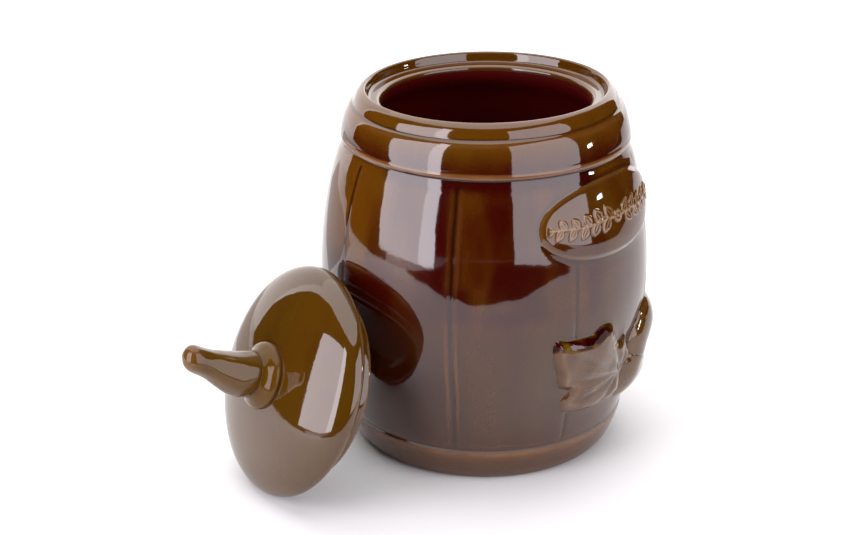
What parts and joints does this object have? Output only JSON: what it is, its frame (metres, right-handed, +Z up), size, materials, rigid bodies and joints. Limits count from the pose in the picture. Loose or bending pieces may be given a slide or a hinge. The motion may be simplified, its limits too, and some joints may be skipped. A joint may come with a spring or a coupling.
{
  "type": "lidded crock",
  "caption": "Barrel-shaped glazed stoneware crock with stave joints, hoop bands, an oval plaque and a relief of a leaf and two gherkins, and a loose domed lid with a stalk knob leaning beside it.",
  "frame": {"origin": "centre of the crock's flat base, on the surface it stands on", "axes": "+Z up along the crock's axis; -Y out of the front, through the middle of the oval plaque; +X to the right of the front, away from the lid"},
  "size_m": [0.2571, 0.1803, 0.192],
  "materials": {
    "body_glaze": "glossy amber-brown glaze, thinner and tan on edges, red-brown where it pools",
    "relief_glaze": "the same glaze, thinner on the raised edges",
    "lid_glaze": "the same glossy glaze, tan on the end of the flange",
    "knob_glaze": "the same glossy glaze, thinner on the tip and collar"
  },
  "bodies": {
    "crock": {"crock_barrel": "body_glaze", "plaque": "relief_glaze", "leaf_sprig": "relief_glaze", "upper_gherkin": "relief_glaze", "lower_gherkin": "relief_glaze"},
    "lid": {"lid_cap": "lid_glaze", "knob_collar": "knob_glaze", "knob_stalk": "knob_glaze"}
  },
  "joints": [
    {"name": "lid_lift", "type": "slide", "parent": "crock", "child": "lid", "axis": [0, 0, 1], "range_m": [0, 0.2]}
  ]
}
